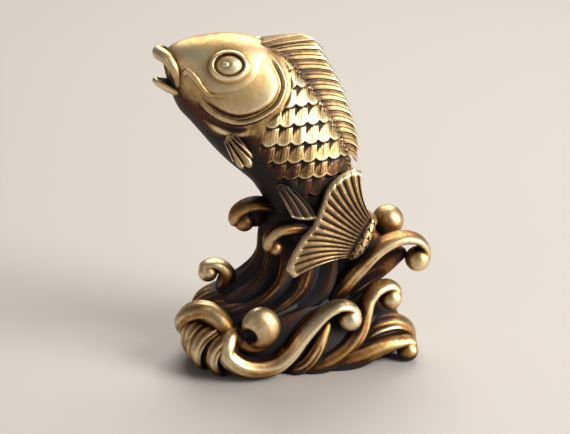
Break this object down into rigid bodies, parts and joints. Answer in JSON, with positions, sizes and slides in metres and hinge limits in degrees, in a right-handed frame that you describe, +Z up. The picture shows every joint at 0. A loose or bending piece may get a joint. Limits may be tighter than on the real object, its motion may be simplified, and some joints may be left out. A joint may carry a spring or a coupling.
{
  "type": "fish figurine",
  "caption": "Leaping carp on a flat base of curling waves, a small solid cast-brass desk ornament with scaled body, ribbed fins and a fanned tail.",
  "frame": {"origin": "centre of the flat underside", "axes": "+X along the base away from the way the fish faces, +Y through the fish's thickness away from the tail's fan, +Z up"},
  "size_m": [0.0499, 0.0304, 0.0592],
  "materials": {
    "fish_brass": "antiqued cast brass, rubbed bright on the head and scales, dark brown in the recesses",
    "fin_brass": "antiqued cast brass, matt brown on the webs and bright along the rays",
    "wave_brass": "antiqued cast brass, bright on the crests and nearly black in the hollows"
  },
  "bodies": {
    "root": {"back_crest_high": "wave_brass", "back_crest_left": "wave_brass", "back_crest_low": "wave_brass", "back_crest_low_right": "wave_brass", "back_crest_right": "wave_brass", "back_strand_long": "wave_brass", "back_strand_short": "wave_brass", "barbel_left": "fish_brass", "barbel_right": "fish_brass", "crest_front_left": "wave_brass", "crest_front_right": "wave_brass", "crest_inner": "wave_brass", "crest_left_small": "wave_brass", "crest_left_upper": "wave_brass", "crest_right_back": "wave_brass", "crest_right_blade": "wave_brass", "crest_right_low": "wave_brass", "crest_right_ridge": "wave_brass", "crest_right_upper": "wave_brass", "dorsal_fin": "fin_brass", "eye_left": "fish_brass", "eye_right": "fish_brass", "fish_body": "fish_brass", "fish_head": "fish_brass", "front_strand_long": "wave_brass", "front_strand_short": "wave_brass", "gill_plate_left": "fish_brass", "gill_plate_right": "fish_brass", "lower_lip": "fish_brass", "pectoral_fin_left": "fin_brass", "pectoral_fin_right": "fin_brass", "pelvic_fin_left": "fin_brass", "pelvic_fin_right": "fin_brass", "petal_lower": "wave_brass", "petal_middle": "wave_brass", "petal_upper": "wave_brass", "tail_fin": "fin_brass", "tail_stem": "fin_brass", "upper_lip": "fish_brass", "wave_column": "wave_brass", "wave_mound": "wave_brass"}
  },
  "joints": []
}
